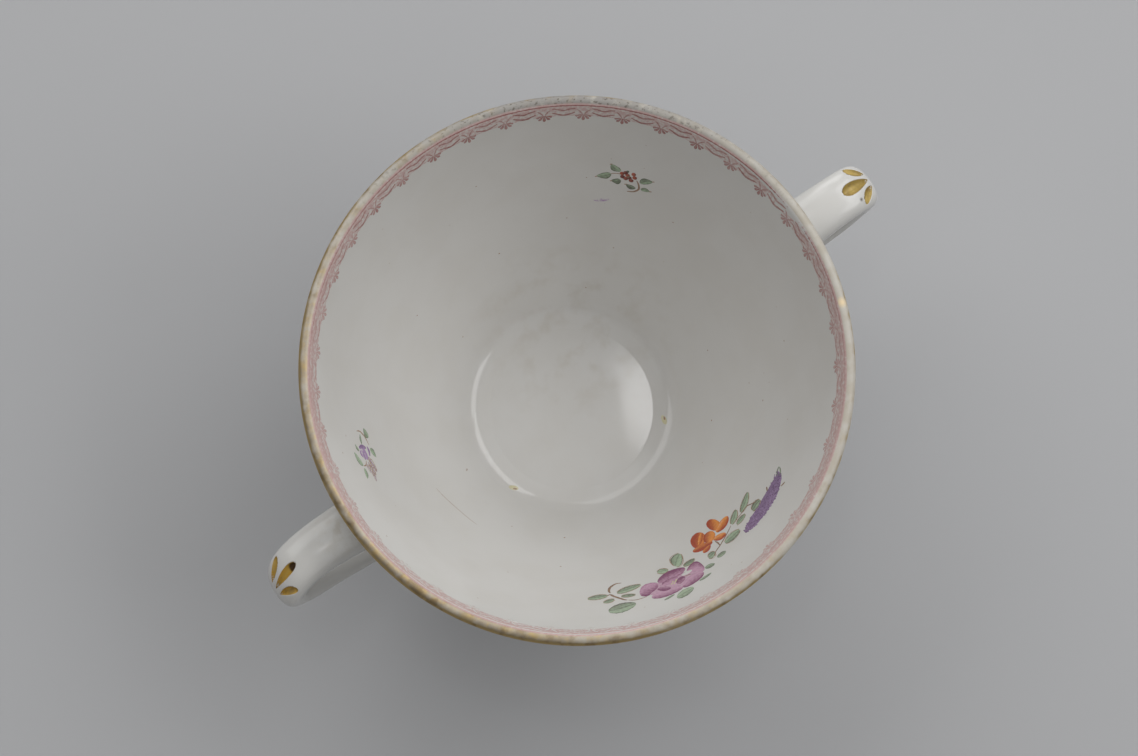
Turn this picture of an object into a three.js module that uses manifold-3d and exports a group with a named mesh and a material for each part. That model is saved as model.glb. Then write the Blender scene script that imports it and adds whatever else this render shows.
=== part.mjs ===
// A two-handled porcelain cup: a thrown bowl on a turned foot ring, with two ear-shaped handles luted to its wall.
// Millimetres, +Z up. The origin is the centre of the foot ring's underside, and the handles lie along X.

import * as THREE from "three";
import { mergeVertices } from "three/addons/utils/BufferGeometryUtils.js";
import Module from "manifold-3d";

const wasm = await Module();
wasm.setup();

// Bowl
const CUP_HEIGHT = 58;
const RIM_RADIUS = 46;
const LIP_WALL = 2;
const LOWER_WALL = 3.4;
const BASE_THICKNESS = 4.2;
const LIP_FLARE = 17.5; // degrees from upright, where the wall ends at the lip
const LOWER_FLARE = 45; // degrees from upright, where the wall leaves the well
const WELL_RADIUS = 17.7;
const WELL_FILLET = 1.6;
const WELL_DISH = 0.4; // rise of the floor from its middle to the fillet

// Foot ring and the slip that joins it to the bowl
const FOOT_OVERHANG = 3.1; // outside of the ring beyond the well's edge above it
const FOOT_HEIGHT = 4.2;
const FOOT_WIDTH = 3.8; // where it meets the bowl
const FOOT_LAND = 1.7; // flat width that stands on the table
const FOOT_ROUND = 0.5;
const FOOT_BATTER = 0.4; // inward lean of the outside face
const FOOT_SLIP = 0.4;
const FOOT_SLIP_INSET = 0.3;

// Handles, each a strap whose section changes on its way from the upper root to the lower one
const UPPER_ROOT_HEIGHT = 40;
const UPPER_ROOT_RISE = 19; // degrees
const LOWER_ROOT_HEIGHT = 18.5;
const LOWER_ROOT_RISE = 8; // degrees
const HANDLE_PROJECTION = 16.2; // outer face beyond the lip
const BEND_HEIGHT = 39.2; // where the strap is furthest out
const SHOULDER_PULL = 17; // the four pulls are the lengths of the centre line's curve handles
const BEND_PULL = 5.6;
const BELLY_PULL = 11;
const LOWER_PULL = 16;
const UPPER_ROOT_WIDTH = 9.8;
const UPPER_ROOT_THICKNESS = 7.6;
const SHOULDER_WIDTH = 8.5;
const SHOULDER_THICKNESS = 5.2;
const BEND_WIDTH = 7.5; // where the strap turns down
const BEND_THICKNESS = 5;
const LOWER_WIDTH = 6.6;
const LOWER_THICKNESS = 4.2;
const LOWER_ROOT_WIDTH = 8.4;
const LOWER_ROOT_THICKNESS = 6.2;
const SECTION_POWER = 2.3; // superellipse: 2 is an oval, more is squarer
const ROOT_BITE = 4; // centre line runs on into the wall before it is trimmed

// Flutes carved into each handle's shoulder
const FLUTE_SETBACK = 6; // round ends from the outermost face
const FLUTE_LENGTH = 8;
const FLUTE_RADIUS = 1.15;
const FLUTE_DEPTH = 0.75;
const FLUTE_EDGE = 1.4; // middle of a side flute's round end from the strap's edge
const FLUTE_POINT_SPREAD = 1.2; // side flutes from the middle one, at the pointed ends
const FLUTE_TIP = 0.05; // radius of the cutter at its ends
const FLUTE_RISE = 0.35; // share of the flute's length from the round end to its widest place

// Luting slip at the handles' roots
const SLIP_THICKNESS = 0.7;
const SLIP_MARGIN = 0.7;
const JOINT_GAP = 0.3;

// Facets
const ROUND_SEGMENTS = 84;
const WALL_STEPS = 11;
const FILLET_STEPS = 3;
const LIP_STEPS = 6;
const HANDLE_STEPS = 30;
const HANDLE_SIDES = 20;
const ROOT_STEPS = 3;
const FLUTE_STEPS = 9;
const FLUTE_SIDES = 10;

// Materials
const glaze = new THREE.MeshStandardMaterial({ color: 0xe4e1da, roughness: 0.12, metalness: 0 });
const slip = new THREE.MeshStandardMaterial({ color: 0xdedad1, roughness: 0.3, metalness: 0 });
const footPaste = new THREE.MeshStandardMaterial({ color: 0xd8d2c6, roughness: 0.45, metalness: 0 });

const BASE_UNDERSIDE = FOOT_HEIGHT + FOOT_SLIP;
const FLOOR_HEIGHT = BASE_UNDERSIDE + BASE_THICKNESS;
const FOOT_RADIUS = WELL_RADIUS + FOOT_OVERHANG;

// Unit vector up a wall that leans out from upright by so many degrees, as radius and height.
function upTheWall(flare) {
  const angle = THREE.MathUtils.degToRad(flare);
  return new THREE.Vector2(Math.sin(angle), Math.cos(angle));
}

// The outward normal of a wall with that direction.
function outwardOf(direction) {
  return new THREE.Vector2(direction.y, -direction.x);
}

// Lip: a half round whose top is at the cup's height and whose outside is at the rim's radius.
const lipDirection = upTheWall(LIP_FLARE);
const lipCentre = new THREE.Vector2(RIM_RADIUS - LIP_WALL / 2, CUP_HEIGHT - LIP_WALL / 2);
const lipInside = lipCentre.clone().addScaledVector(outwardOf(lipDirection), -LIP_WALL / 2);

// The corner where the well's floor would meet the wall, rounded by a fillet.
const wellCorner = new THREE.Vector2(WELL_RADIUS, FLOOR_HEIGHT + WELL_DISH);
const lowerDirection = upTheWall(LOWER_FLARE);
const wallFoot = wellCorner.clone().addScaledVector(lowerDirection, WELL_FILLET);

// Inside of the wall, from the well to the lip, as one cubic curve.
const wallReach = wallFoot.distanceTo(lipInside) / 3;
const insideWall = new THREE.CubicBezierCurve(
  wallFoot,
  wallFoot.clone().addScaledVector(lowerDirection, wallReach),
  lipInside.clone().addScaledVector(lipDirection, -wallReach),
  lipInside,
);

// Outside of the wall at a share of its height, standing off by a further offset.
function outsideWall(share, offset) {
  const tangent = insideWall.getTangent(share);
  const wall = THREE.MathUtils.lerp(LOWER_WALL, LIP_WALL, share);
  return insideWall.getPoint(share).addScaledVector(outwardOf(tangent), wall + offset);
}

function steps(count, makePoint) {
  return Array.from({ length: count + 1 }, (_, i) => makePoint(i / count));
}

function lipArc(radius) {
  const start = Math.atan2(lipDirection.x, -lipDirection.y);
  return steps(LIP_STEPS, (share) => {
    const angle = start - share * Math.PI;
    return new THREE.Vector2(
      lipCentre.x + radius * Math.cos(angle),
      lipCentre.y + radius * Math.sin(angle),
    );
  });
}

// Outside of the bowl from the lip down to the foot, with the small hollow above the foot ring.
function outsideProfile(offset) {
  const wall = steps(WALL_STEPS, (share) => outsideWall(1 - share, offset));
  const wallEnd = wall[wall.length - 1];
  const footEdge = new THREE.Vector2(FOOT_RADIUS + offset, BASE_UNDERSIDE);
  const drop = (wallEnd.x - footEdge.x) / Math.tan(THREE.MathUtils.degToRad(LOWER_FLARE));
  const hollow = new THREE.Vector2(footEdge.x, wallEnd.y - drop);
  const turn = new THREE.QuadraticBezierCurve(wallEnd, hollow, footEdge);
  return [...wall, ...turn.getPoints(FILLET_STEPS).slice(1)];
}

// Revolves a profile of radius and height about Z. The profile runs clockwise, seen with the axis on its left.
function revolve(profile) {
  return new THREE.LatheGeometry(profile.slice().reverse(), ROUND_SEGMENTS).rotateX(Math.PI / 2);
}

function bowlGeometry() {
  const floorEdge = new THREE.Vector2(WELL_RADIUS - WELL_FILLET, FLOOR_HEIGHT + WELL_DISH);
  const fillet = new THREE.QuadraticBezierCurve(floorEdge, wellCorner, wallFoot);
  return revolve([
    new THREE.Vector2(0, FLOOR_HEIGHT),
    ...fillet.getPoints(FILLET_STEPS),
    ...insideWall.getPoints(WALL_STEPS).slice(1, -1),
    ...lipArc(LIP_WALL / 2),
    ...outsideProfile(0).slice(1),
    new THREE.Vector2(0, BASE_UNDERSIDE),
  ]);
}

// The bowl's outside as a filled blank, grown by an offset, to trim what is luted to it.
function bowlBlank(offset) {
  return solidOf(revolve([
    new THREE.Vector2(0, CUP_HEIGHT + offset),
    new THREE.Vector2(outsideWall(1, offset).x, CUP_HEIGHT + offset),
    ...outsideProfile(offset),
    new THREE.Vector2(0, BASE_UNDERSIDE),
  ]));
}

function footRingGeometry() {
  const outsideLow = FOOT_RADIUS - FOOT_BATTER;
  const insideLow = outsideLow - FOOT_LAND - 2 * FOOT_ROUND;
  const insideTop = FOOT_RADIUS - FOOT_WIDTH;
  const outerRound = new THREE.QuadraticBezierCurve(
    new THREE.Vector2(outsideLow, FOOT_ROUND),
    new THREE.Vector2(outsideLow, 0),
    new THREE.Vector2(outsideLow - FOOT_ROUND, 0),
  );
  const innerRound = new THREE.QuadraticBezierCurve(
    new THREE.Vector2(insideLow + FOOT_ROUND, 0),
    new THREE.Vector2(insideLow, 0),
    new THREE.Vector2(insideLow, FOOT_ROUND),
  );
  return revolve([
    new THREE.Vector2(insideTop, FOOT_HEIGHT),
    new THREE.Vector2(FOOT_RADIUS, FOOT_HEIGHT),
    ...outerRound.getPoints(FILLET_STEPS),
    ...innerRound.getPoints(FILLET_STEPS),
    new THREE.Vector2(insideTop, FOOT_HEIGHT),
  ]);
}

function footSlipGeometry() {
  const outside = FOOT_RADIUS - FOOT_SLIP_INSET;
  const inside = FOOT_RADIUS - FOOT_WIDTH + FOOT_SLIP_INSET;
  return revolve([
    new THREE.Vector2(inside, BASE_UNDERSIDE),
    new THREE.Vector2(outside, BASE_UNDERSIDE),
    new THREE.Vector2(outside, FOOT_HEIGHT),
    new THREE.Vector2(inside, FOOT_HEIGHT),
    new THREE.Vector2(inside, BASE_UNDERSIDE),
  ]);
}

// Radius of the bowl's outside at a height, found by halving.
function wallRadiusAt(height) {
  let low = 0;
  let high = 1;
  while (high - low > 1e-6) {
    const middle = (low + high) / 2;
    if (outsideWall(middle, 0).y < height) low = middle;
    else high = middle;
  }
  return outsideWall(low, 0).x;
}

// Centre line of a handle in the plane of X and Z: from inside the wall over the shoulder to the bend, and back in.
function rootPoint(height) {
  return new THREE.Vector3(wallRadiusAt(height) - ROOT_BITE, 0, height);
}

function pulled(point, degrees, length) {
  const angle = THREE.MathUtils.degToRad(degrees);
  return new THREE.Vector3(point.x + length * Math.cos(angle), 0, point.z + length * Math.sin(angle));
}

const upperRoot = rootPoint(UPPER_ROOT_HEIGHT);
const lowerRoot = rootPoint(LOWER_ROOT_HEIGHT);
const bend = new THREE.Vector3(RIM_RADIUS + HANDLE_PROJECTION - BEND_THICKNESS / 2, 0, BEND_HEIGHT);
const centreLine = new THREE.CurvePath();
centreLine.add(new THREE.CubicBezierCurve3(
  upperRoot,
  pulled(upperRoot, UPPER_ROOT_RISE, SHOULDER_PULL),
  pulled(bend, 90, BEND_PULL),
  bend,
));
centreLine.add(new THREE.CubicBezierCurve3(
  bend,
  pulled(bend, -90, BELLY_PULL),
  pulled(lowerRoot, LOWER_ROOT_RISE, LOWER_PULL),
  lowerRoot,
));
const centreLength = centreLine.getLength();
const acrossHandle = new THREE.Vector3(0, 1, 0);

// Half width and half thickness of the strap at a share of the centre line, eased between its named places.
const strapPlaces = [
  [0, UPPER_ROOT_WIDTH, UPPER_ROOT_THICKNESS],
  [0.3, SHOULDER_WIDTH, SHOULDER_THICKNESS],
  [0.48, BEND_WIDTH, BEND_THICKNESS],
  [0.72, LOWER_WIDTH, LOWER_THICKNESS],
  [1, LOWER_ROOT_WIDTH, LOWER_ROOT_THICKNESS],
];

function strapSize(share) {
  const next = Math.max(strapPlaces.findIndex(([place]) => place >= share), 1);
  const [fromPlace, fromWidth, fromThickness] = strapPlaces[next - 1];
  const [toPlace, toWidth, toThickness] = strapPlaces[next];
  const ease = THREE.MathUtils.smoothstep(share, fromPlace, toPlace);
  return {
    halfWidth: THREE.MathUtils.lerp(fromWidth, toWidth, ease) / 2,
    halfThickness: THREE.MathUtils.lerp(fromThickness, toThickness, ease) / 2,
  };
}

// A point on the handle's skin. Turn 0 faces away from the loop, and a quarter turn faces along Y.
function skinPoint(share, turn, margin = 0) {
  const { halfWidth, halfThickness } = strapSize(share);
  const cosine = Math.cos(turn * 2 * Math.PI);
  const sine = Math.sin(turn * 2 * Math.PI);
  const squared = (value) => Math.sign(value) * Math.abs(value) ** (2 / SECTION_POWER);
  const outward = new THREE.Vector3().crossVectors(acrossHandle, centreLine.getTangentAt(share)).negate();
  return centreLine.getPointAt(share)
    .addScaledVector(outward, (halfThickness + margin) * squared(cosine))
    .addScaledVector(acrossHandle, (halfWidth + margin) * squared(sine));
}

// Joins rings of points into one closed body with flat ends. The rings turn left-handed about their way along.
function loft(rings) {
  const sides = rings[0].length;
  const points = rings.flat();
  const faces = [];
  for (let ring = 0; ring + 1 < rings.length; ring += 1) {
    for (let side = 0; side < sides; side += 1) {
      const a = ring * sides + side;
      const b = ring * sides + ((side + 1) % sides);
      faces.push(a, a + sides, b, b, a + sides, b + sides);
    }
  }
  const last = (rings.length - 1) * sides;
  for (let side = 1; side + 1 < sides; side += 1) {
    faces.push(0, side, side + 1, last, last + side + 1, last + side);
  }
  return new THREE.BufferGeometry().setFromPoints(points).setIndex(faces);
}

function solidOf(geometry) {
  const bare = geometry.index ? geometry.toNonIndexed() : geometry.clone();
  bare.deleteAttribute("normal");
  bare.deleteAttribute("uv");
  const merged = mergeVertices(bare);
  return new wasm.Manifold(new wasm.Mesh({
    numProp: 3,
    vertProperties: new Float32Array(merged.attributes.position.array),
    triVerts: new Uint32Array(merged.index.array),
  }));
}

function geometryOf(solid) {
  const mesh = solid.getMesh();
  const geometry = new THREE.BufferGeometry();
  geometry.setAttribute("position", new THREE.BufferAttribute(new Float32Array(mesh.vertProperties), 3));
  geometry.setIndex(new THREE.BufferAttribute(new Uint32Array(mesh.triVerts), 1));
  geometry.computeVertexNormals();
  return geometry;
}

// A stretch of the strap between two shares of the centre line, grown by a margin.
function strap(from, to, count, margin = 0) {
  return loft(steps(count, (share) => {
    const place = THREE.MathUtils.lerp(from, to, share);
    return steps(HANDLE_SIDES - 1, (side) => skinPoint(place, side * (1 - 1 / HANDLE_SIDES), margin));
  }));
}

// Share of the centre line where the strap's outer skin first comes within a setback of the outermost face.
function shareAtSetback(setback) {
  const reach = RIM_RADIUS + HANDLE_PROJECTION - setback;
  let share = 0;
  while (skinPoint(share, 0).x < reach) share += 1 / 1024;
  return share;
}

// A tear-shaped cutter that follows the shoulder, round at its first end and pointed at its last.
function flute(side) {
  const fluteStart = shareAtSetback(FLUTE_SETBACK);
  const stations = steps(FLUTE_STEPS, (share) => {
    const place = fluteStart + (share * FLUTE_LENGTH) / centreLength;
    const { halfWidth } = strapSize(place);
    const spread = side * THREE.MathUtils.lerp(halfWidth - FLUTE_EDGE, FLUTE_POINT_SPREAD, share);
    const turn = Math.asin(Math.sign(spread) * Math.abs(spread / halfWidth) ** (SECTION_POWER / 2)) / (2 * Math.PI);
    return skinPoint(place, turn);
  });
  const bulge = (share) => (share < FLUTE_RISE
    ? Math.sqrt(1 - (1 - share / FLUTE_RISE) ** 2)
    : Math.cos(((share - FLUTE_RISE) / (1 - FLUTE_RISE)) * (Math.PI / 2)));
  const path = new THREE.CatmullRomCurve3(stations);
  return loft(steps(FLUTE_STEPS, (share) => {
    const radius = Math.max(FLUTE_RADIUS * bulge(share), FLUTE_TIP);
    const tangent = path.getTangentAt(share);
    const across = acrossHandle.clone().addScaledVector(tangent, -tangent.y).normalize();
    const outward = new THREE.Vector3().crossVectors(across, tangent).negate();
    const centre = path.getPointAt(share).addScaledVector(outward, radius - FLUTE_DEPTH * bulge(share));
    return steps(FLUTE_SIDES - 1, (turn) => {
      const angle = turn * (1 - 1 / FLUTE_SIDES) * 2 * Math.PI;
      return centre.clone()
        .addScaledVector(outward, radius * Math.cos(angle))
        .addScaledVector(across, radius * Math.sin(angle));
    });
  }));
}

function handleGeometry() {
  let solid = solidOf(strap(0, 1, HANDLE_STEPS));
  solid = solid.subtract(bowlBlank(SLIP_THICKNESS + 2 * JOINT_GAP));
  for (const side of [-1, 0, 1]) solid = solid.subtract(solidOf(flute(side)));
  return geometryOf(solid);
}

// The pad of slip between a root and the wall, a little wider than the root.
function slipGeometry(from, to) {
  const shell = bowlBlank(SLIP_THICKNESS + JOINT_GAP).subtract(bowlBlank(JOINT_GAP));
  return geometryOf(solidOf(strap(from, to, ROOT_STEPS, SLIP_MARGIN)).intersect(shell));
}

function piece(name, geometry, material) {
  const mesh = new THREE.Mesh(geometry, material);
  mesh.name = name;
  return mesh;
}

const cup = new THREE.Group();
cup.add(piece("bowl", bowlGeometry(), glaze));
cup.add(piece("foot_ring", footRingGeometry(), footPaste));
cup.add(piece("foot_slip", footSlipGeometry(), slip));

// Each handle is made on the +X side, and the left one is turned half round the cup's axis.
const rootShare = (2 * ROOT_BITE + SLIP_MARGIN) / centreLength;
for (const [side, turn] of [["right", 0], ["left", Math.PI]]) {
  const group = new THREE.Group();
  group.rotation.z = turn;
  group.add(piece(`handle_${side}`, handleGeometry(), glaze));
  group.add(piece(`upper_slip_${side}`, slipGeometry(0, rootShare), slip));
  group.add(piece(`lower_slip_${side}`, slipGeometry(1 - rootShare, 1), slip));
  cup.add(group);
}

export default cup;
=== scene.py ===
"""A painted and gilded porcelain cup with two handles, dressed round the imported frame.

Lengths are millimetres until a mesh is made, and Blender's metres after that. Angles are degrees
round the cup's axis, from the right handle, counterclockwise seen from above.
"""
import math

import bpy
import numpy as np
from mathutils import Matrix, Quaternion, Vector


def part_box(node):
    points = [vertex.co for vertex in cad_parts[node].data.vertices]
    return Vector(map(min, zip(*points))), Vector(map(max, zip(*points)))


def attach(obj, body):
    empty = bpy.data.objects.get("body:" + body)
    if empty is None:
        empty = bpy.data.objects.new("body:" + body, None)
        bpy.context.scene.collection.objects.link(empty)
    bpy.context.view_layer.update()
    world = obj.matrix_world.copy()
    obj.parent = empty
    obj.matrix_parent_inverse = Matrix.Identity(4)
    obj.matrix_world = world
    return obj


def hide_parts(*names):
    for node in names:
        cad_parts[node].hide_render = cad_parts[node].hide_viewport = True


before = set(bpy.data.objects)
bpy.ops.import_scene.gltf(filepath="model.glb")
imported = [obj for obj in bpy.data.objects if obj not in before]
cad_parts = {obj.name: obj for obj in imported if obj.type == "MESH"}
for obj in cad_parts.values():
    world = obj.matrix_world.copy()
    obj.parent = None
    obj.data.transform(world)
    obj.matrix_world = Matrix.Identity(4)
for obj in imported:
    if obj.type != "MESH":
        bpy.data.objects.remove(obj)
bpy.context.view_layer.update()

MM = 0.001
rng = np.random.default_rng(17)


def box_mm(node):
    low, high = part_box(node)
    return np.array(low) / MM, np.array(high) / MM


# Sizes from the frame
RIM_RADIUS = box_mm("bowl")[1][0]
CUP_HEIGHT = box_mm("bowl")[1][2]
BASE_UNDERSIDE = box_mm("bowl")[0][2]
FOOT_RADIUS = box_mm("foot_ring")[1][0]
HANDLE_REACH = box_mm("handle_right")[1][0]

# Bowl
LIP_WALL = 2.0
LOWER_WALL = 3.4
BASE_THICKNESS = 4.2
LIP_FLARE = 17.5
LOWER_FLARE = 45.0
WELL_RADIUS = 18.5
WELL_FILLET = 1.5
WELL_STEP = 0.78
WELL_FLOOR = 14.8
WELL_DISH = 0.5
FLOOR_HEIGHT = BASE_UNDERSIDE + BASE_THICKNESS

# Foot ring
FOOT_WIDTH = 3.8
FOOT_LAND = 1.7
FOOT_ROUND = 0.5
FOOT_BATTER = 0.4
FOOT_BEND = 2.5
FOOT_FLANK = 1.5
FOOT_COVE = 1.0
FOOT_OVERLAP = 0.3
FOOT_TUCK = 0.2

# Handles
UPPER_ROOT_HEIGHT = 40.0
UPPER_ROOT_RISE = 19.0
LOWER_ROOT_HEIGHT = 18.5
LOWER_ROOT_RISE = 8.0
BEND_HEIGHT = 39.2
SHOULDER_PULL = 17.0
BEND_PULL = 5.6
BELLY_PULL = 11.0
LOWER_PULL = 16.0
STRAP_PLACES = [0.0, 0.3, 0.48, 0.72, 1.0]
STRAP_WIDTHS = [9.8, 8.5, 7.5, 6.6, 8.4]
STRAP_THICKNESSES = [7.6, 5.2, 5.0, 4.2, 6.2]
STRAP_POWERS = [2.6, 2.5, 2.1, 2.2, 2.4]
ROOT_BITE = 4.0
ROOT_FILLET = 2.2
ROOT_DEPTH = 1.0
ROLL_HEIGHT = 33.0
ROLLS = {"right": 0.0, "left": 6.0}
SWING_START = 50.0
SWINGS = {"right": 0.0, "left": 1.5}

# Flutes in the handles' shoulders
FLUTES = {
    # side, setback of its round end, half width
    "right": [(-1, 3.7, 1.0), (0, 6.6, 1.15), (1, 3.7, 1.0)],
    "left": [(-1, 3.4, 0.85), (0, 5.7, 0.84), (1, 3.2, 0.85)],
}
FLUTE_POINT_SETBACKS = {"right": 0.9, "left": 0.6}
FLUTE_DEPTH = 0.8
FLUTE_EDGE = 1.1
FLUTE_POINT_SPREAD = 1.2
FLUTE_RISE = 0.32

# Gilding and paint
GILDING_ARC = 40, 178
GILDING_HEIGHT = 0.012
GILDING_SINK = 0.06
FLUTE_LEAF_LIFTS = 0.035, -0.05
PAINT_HEIGHT = 0.014
PAINT_LAYER = 0.008
PAINT_TUCK = 0.006
PAINT_SINK = 0.03
THINNEST_STROKE = 0.04
BORDER_UNITS = 41

# Facets
ROUND_SEGMENTS = 256
GILDING_SEGMENTS = 512
SHARP_EDGE = math.radians(60)


def heading(degrees):
    angle = np.radians(degrees)
    return np.stack([np.cos(angle), np.sin(angle)], -1)


def leaning(degrees):
    """The way up along something that leans out by so many degrees."""
    return heading(degrees)[::-1]


def unit(vectors):
    return vectors / np.linalg.norm(vectors, axis=-1, keepdims=True)


def between(places, known, columns):
    """Columns of numbers at places between the known ones."""
    return [np.interp(places, known, column) for column in columns.T]


def measured(points):
    """Lengths along a line of points, and its direction at each."""
    steps = np.linalg.norm(np.diff(points, axis=0), axis=1)
    lengths = np.concatenate([[0], np.cumsum(steps)])
    return lengths, unit(np.gradient(points, lengths, axis=0))


def outward_of(direction):
    """The outward normal of a wall with that direction."""
    return np.stack([direction[..., 1], -direction[..., 0]], -1)


def smooth_step(value, low, high):
    share = np.clip((value - low) / (high - low), 0, 1)
    return share * share * (3 - 2 * share)


def bezier(controls, shares):
    """Points of a Bezier curve of any degree."""
    degree = len(controls) - 1
    shares = shares[..., None]
    return sum(
        math.comb(degree, i) * shares**i * (1 - shares) ** (degree - i) * np.asarray(control, float)
        for i, control in enumerate(controls)
    )


def curve_through(points, count):
    """A smooth curve through points, with so many places along it."""
    points = np.asarray(points, float)
    slopes = np.gradient(points, axis=0)
    places = np.linspace(0, len(points) - 1, count)
    first = np.minimum(places.astype(int), len(points) - 2)
    share = (places - first)[:, None]
    return (
        (1 + 2 * share) * (1 - share) ** 2 * points[first]
        + share * (1 - share) ** 2 * slopes[first]
        + share**2 * (3 - 2 * share) * points[first + 1]
        + share**2 * (share - 1) * slopes[first + 1]
    )


LIP_DIRECTION = leaning(LIP_FLARE)
LIP_CENTRE = np.array([RIM_RADIUS - LIP_WALL / 2, CUP_HEIGHT - LIP_WALL / 2])
LIP_INSIDE = LIP_CENTRE - outward_of(LIP_DIRECTION) * LIP_WALL / 2
WELL_CORNER = np.array([WELL_RADIUS, FLOOR_HEIGHT + WELL_DISH + WELL_STEP])
LOWER_DIRECTION = leaning(LOWER_FLARE)
WALL_FOOT = WELL_CORNER + LOWER_DIRECTION * WELL_FILLET
WALL_PULL = np.linalg.norm(WALL_FOOT - LIP_INSIDE) / 3
WALL_CONTROLS = [
    WALL_FOOT,
    WALL_FOOT + LOWER_DIRECTION * WALL_PULL,
    LIP_INSIDE - LIP_DIRECTION * WALL_PULL,
    LIP_INSIDE,
]


def lip_arc(radius, start, end, count):
    """Points of the lip's round, by degrees from straight inside over the top."""
    inside = math.degrees(math.atan2(LIP_DIRECTION[0], -LIP_DIRECTION[1]))
    return LIP_CENTRE + radius * heading(inside - np.linspace(start, end, count))


def wall_profile(shares, depth):
    """Points of the wall from its foot to the lip, so deep into the clay from its inside face."""
    points = bezier(WALL_CONTROLS, shares)
    slope = unit(bezier(np.diff(WALL_CONTROLS, axis=0), shares))
    return points + outward_of(slope) * depth[..., None]


class WallFace:
    """One face of the bowl as radius and height, by the distance down from the lip's straight edge."""

    def __init__(self, lip, wall, end, facing):
        self.points = np.concatenate([lip[:-1], wall, end])
        self.below_lip = self.points[len(lip) - 1:]
        distances, slopes = measured(self.points)
        self.distances = distances - distances[len(lip) - 1]
        self.normals = -facing * outward_of(slopes)

    def at(self, distance):
        return between(distance, self.distances, self.points)

    def distance_at(self, radius):
        return np.interp(radius, self.below_lip[::-1, 0], self.distances[::-1][: len(self.below_lip)])

    def place(self, angle, distance, lift):
        """Points on the face. The angle is in radians, and lift stands off from the glaze."""
        radius, height = self.at(distance)
        out, up = between(distance, self.distances, self.normals)
        radius = radius + lift * out
        return np.stack([radius * np.cos(angle), radius * np.sin(angle), height + lift * up], -1)


def well_profile():
    """From the wall's foot through the fillet and down a shallow step to the dished floor."""
    floor_edge = np.array([WELL_FLOOR, FLOOR_HEIGHT + WELL_DISH])
    step = floor_edge - WELL_CORNER
    shelf = WELL_CORNER + step * WELL_FILLET / np.linalg.norm(step)
    fillet = bezier([WALL_FOOT, WELL_CORNER, shelf], np.linspace(0, 1, 24))[1:]
    slope = bezier([shelf, floor_edge], np.linspace(0, 1, 14))[1:]
    dish = 1 - np.linspace(0, 1, 26)[1:] ** 1.5
    floor = np.stack([dish * WELL_FLOOR, FLOOR_HEIGHT + WELL_DISH * dish**2], -1)
    return np.concatenate([fillet, slope, floor])


def hollow_profile():
    """From the outside's lower end through the small hollow above the foot ring."""
    wall_end = wall_profile(np.zeros(1), np.array([LOWER_WALL]))[0]
    drop = (wall_end[0] - FOOT_RADIUS) / math.tan(math.radians(LOWER_FLARE))
    corner = [FOOT_RADIUS, wall_end[1] - drop]
    return bezier([wall_end, corner, [FOOT_RADIUS, BASE_UNDERSIDE]], np.linspace(0, 1, 14))[1:]


WALL_SHARES = np.linspace(1, 0, 400)
WALL_DEPTHS = LOWER_WALL + (LIP_WALL - LOWER_WALL) * WALL_SHARES
INSIDE_WALL = wall_profile(WALL_SHARES, 0 * WALL_SHARES)
OUTSIDE_WALL = wall_profile(WALL_SHARES, WALL_DEPTHS)
INSIDE = WallFace(lip_arc(LIP_WALL / 2, 75, 0, 30), INSIDE_WALL, well_profile(), -1)
OUTSIDE = WallFace(lip_arc(LIP_WALL / 2, 105, 180, 30), OUTSIDE_WALL, hollow_profile(), 1)


def add_mesh(name, points, faces, material, uv=None, tones=None):
    """A mesh object from points in millimetres, with optional brush coordinates and tones."""
    mesh = bpy.data.meshes.new(name)
    mesh.from_pydata((points * MM).tolist(), [], faces)
    mesh.shade_smooth()
    mesh.set_sharp_from_angle(angle=SHARP_EDGE)
    if uv is not None:
        corners = np.empty(len(mesh.loops), np.int32)
        mesh.loops.foreach_get("vertex_index", corners)
        layer = mesh.uv_layers.new(name="UVMap")
        layer.data.foreach_set("uv", np.asarray(uv, np.float32)[corners].ravel())
    if tones is not None:
        attribute = mesh.attributes.new("tone", "FLOAT", "POINT")
        attribute.data.foreach_set("value", np.asarray(tones, np.float32))
    mesh.materials.append(material)
    piece = bpy.data.objects.new(name, mesh)
    bpy.context.collection.objects.link(piece)
    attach(piece, "root")
    return piece


def grid_faces(rows, columns, wrap=False):
    """Quads of a grid of points, row after row. With wrap the last column joins the first."""
    quads = []
    for row in range(rows - 1):
        for column in range(columns if wrap else columns - 1):
            here = row * columns + column
            beside = row * columns + (column + 1) % columns
            quads.append((here, beside, beside + columns, here + columns))
    return quads


def pad_faces(rows, columns):
    """Faces of a closed pad: a grid on top, the same grid beneath, and the edge between them."""
    below = rows * columns
    top = grid_faces(rows, columns)
    bottom = [tuple(below + i for i in reversed(face)) for face in top]
    grid = np.arange(below).reshape(rows, columns)
    sides = grid[0, :-1], grid[:-1, -1], grid[-1, :0:-1], grid[:0:-1, 0]
    edge = np.concatenate(sides).tolist()
    after = edge[1:] + edge[:1]
    return top + bottom + [(b, a, a + below, b + below) for a, b in zip(edge, after)]


def revolve(name, profile, material, segments=ROUND_SEGMENTS):
    """A closed body of revolution. Its profile starts and ends on the axis, or closes on itself."""
    on_axis = profile[0, 0] < 1e-9
    rings = profile[1:-1] if on_axis else profile
    around = heading(np.linspace(0, 360, segments, endpoint=False))
    heights = np.repeat(rings[:, None, 1:], segments, axis=1)
    points = np.concatenate([rings[:, None, :1] * around, heights], axis=-1).reshape(-1, 3)
    faces = grid_faces(len(rings), segments, wrap=True)
    last_ring = (len(rings) - 1) * segments
    following = [(i + 1) % segments for i in range(segments)]
    if on_axis:
        first_pole = len(points)
        points = np.concatenate([points, [[0, 0, profile[0, 1]], [0, 0, profile[-1, 1]]]])
        faces += [(first_pole, j, i) for i, j in enumerate(following)]
        faces += [(first_pole + 1, last_ring + i, last_ring + j) for i, j in enumerate(following)]
    else:
        faces += [(last_ring + i, last_ring + j, j, i) for i, j in enumerate(following)]
    return add_mesh(name, points, faces, material)


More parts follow.
